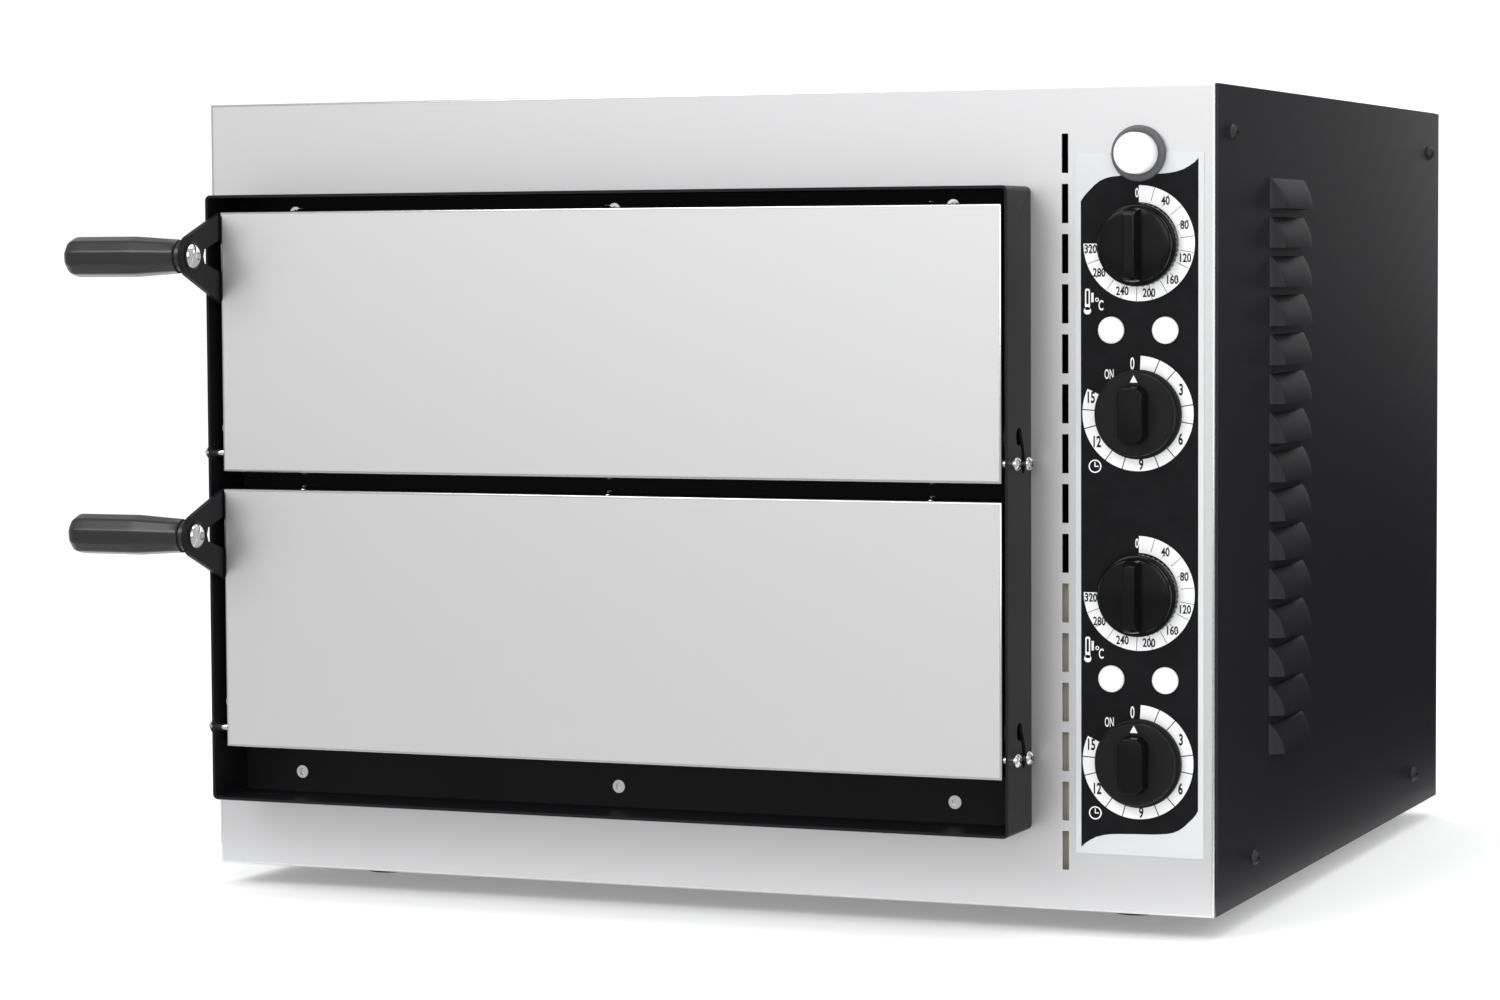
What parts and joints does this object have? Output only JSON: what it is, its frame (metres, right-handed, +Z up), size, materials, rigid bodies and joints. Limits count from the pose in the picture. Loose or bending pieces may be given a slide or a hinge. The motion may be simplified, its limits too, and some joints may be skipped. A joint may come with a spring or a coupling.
{
  "type": "countertop pizza oven",
  "caption": "Countertop electric pizza oven with stacked baking chambers, drop-down steel doors with side grips, and a control column of knobs, lamps and a main switch.",
  "frame": {"origin": "centre of the object's box in plan, on the plane under the rubber feet", "axes": "+Z up, -Y towards the user, in front of the doors, +X to the user's right, towards the control column"},
  "size_m": [0.6274, 0.595, 0.43],
  "materials": {
    "fascia_steel": "fine satin-brushed stainless steel",
    "door_steel": "fine brushed stainless steel, grain across the width",
    "black_coat": "semi-gloss black powder coat",
    "rubber": "matt black rubber",
    "black_screw": "blackened steel",
    "black_plastic": "dark grey moulded plastic",
    "terminal_plastic": "ivory moulded plastic",
    "label_film": "printed film, pale grey round a black field",
    "zinc_screw": "bright plated steel",
    "chamber_steel": "aluminised steel",
    "deck_stone": "pale refractory stone",
    "element_steel": "heat-darkened steel",
    "mineral_wool": "mineral wool blanket",
    "copper": "copper tube",
    "white_lens": "milky white lens",
    "knob_plastic": "gloss black phenolic plastic",
    "grip_plastic": "satin black phenolic plastic"
  },
  "bodies": {
    "cabinet": {"front_panel": "fascia_steel", "top_panel": "black_coat", "back_panel": "black_coat", "base_pan": "black_coat", "side_panel_right": "black_coat", "side_panel_left": "black_coat", "rubber_feet": "rubber", "side_panel_screws": "black_screw", "back_panel_screws": "black_screw", "cable_gland": "black_plastic", "terminal_block": "terminal_plastic", "control_label": "label_film", "door_frame": "black_coat", "frame_screws": "zinc_screw", "upper_chamber": "chamber_steel", "lower_chamber": "chamber_steel", "upper_deck_stone": "deck_stone", "lower_deck_stone": "deck_stone", "upper_roof_element": "element_steel", "upper_floor_element": "element_steel", "lower_roof_element": "element_steel", "lower_floor_element": "element_steel", "insulation_decks": "mineral_wool", "insulation_walls": "mineral_wool", "control_bay_divider": "chamber_steel", "upper_thermostat": "chamber_steel", "lower_thermostat": "chamber_steel", "upper_timer": "terminal_plastic", "lower_timer": "terminal_plastic", "upper_sensing_bulb": "copper", "lower_sensing_bulb": "copper", "pilot_lamp_lenses": "white_lens", "pilot_lamp_bodies": "terminal_plastic", "switch_bezel": "black_plastic", "switch_body": "black_plastic"},
    "main_switch": {"main_switch_button": "white_lens"},
    "upper_thermostat_dial": {"upper_thermostat_knob": "knob_plastic", "upper_thermostat_shaft": "element_steel"},
    "upper_timer_dial": {"upper_timer_knob": "knob_plastic", "upper_timer_shaft": "element_steel"},
    "lower_thermostat_dial": {"lower_thermostat_knob": "knob_plastic", "lower_thermostat_shaft": "element_steel"},
    "lower_timer_dial": {"lower_timer_knob": "knob_plastic", "lower_timer_shaft": "element_steel"},
    "upper_door": {"upper_door_skin": "door_steel", "upper_door_pan": "black_coat", "upper_door_insulation": "mineral_wool", "upper_door_edge_screws": "zinc_screw", "upper_door_hinge_screws": "zinc_screw", "upper_handle_bracket": "black_coat", "upper_handle_grip": "grip_plastic", "upper_handle_screw": "zinc_screw"},
    "lower_door": {"lower_door_skin": "door_steel", "lower_door_pan": "black_coat", "lower_door_insulation": "mineral_wool", "lower_door_edge_screws": "zinc_screw", "lower_door_hinge_screws": "zinc_screw", "lower_handle_bracket": "black_coat", "lower_handle_grip": "grip_plastic", "lower_handle_screw": "zinc_screw"}
  },
  "joints": [
    {"name": "main_switch_push", "type": "slide", "parent": "cabinet", "child": "main_switch", "axis": [0, 1, 0], "range_m": [0, 0.003], "stiffness_N_per_m": 300, "springref_m": -0.002},
    {"name": "upper_thermostat_turn", "type": "hinge", "parent": "cabinet", "child": "upper_thermostat_dial", "pos_m": [0.26675, -0.2227, 0.3499], "axis": [0, 1, 0], "range_deg": [0, 270]},
    {"name": "upper_timer_turn", "type": "hinge", "parent": "cabinet", "child": "upper_timer_dial", "pos_m": [0.26675, -0.2227, 0.2651], "axis": [0, 1, 0], "range_deg": [-35, 290]},
    {"name": "upper_door_hinge", "type": "hinge", "parent": "cabinet", "child": "upper_door", "pos_m": [-0.0159, -0.2525, 0.2408], "axis": [1, 0, 0], "range_deg": [0, 50]},
    {"name": "lower_thermostat_turn", "type": "hinge", "parent": "cabinet", "child": "lower_thermostat_dial", "pos_m": [0.26675, -0.2227, 0.174], "axis": [0, 1, 0], "range_deg": [0, 270]},
    {"name": "lower_timer_turn", "type": "hinge", "parent": "cabinet", "child": "lower_timer_dial", "pos_m": [0.26675, -0.2227, 0.0892], "axis": [0, 1, 0], "range_deg": [-35, 290]},
    {"name": "lower_door_hinge", "type": "hinge", "parent": "cabinet", "child": "lower_door", "pos_m": [-0.0159, -0.2525, 0.0915], "axis": [1, 0, 0], "range_deg": [0, 50]}
  ]
}
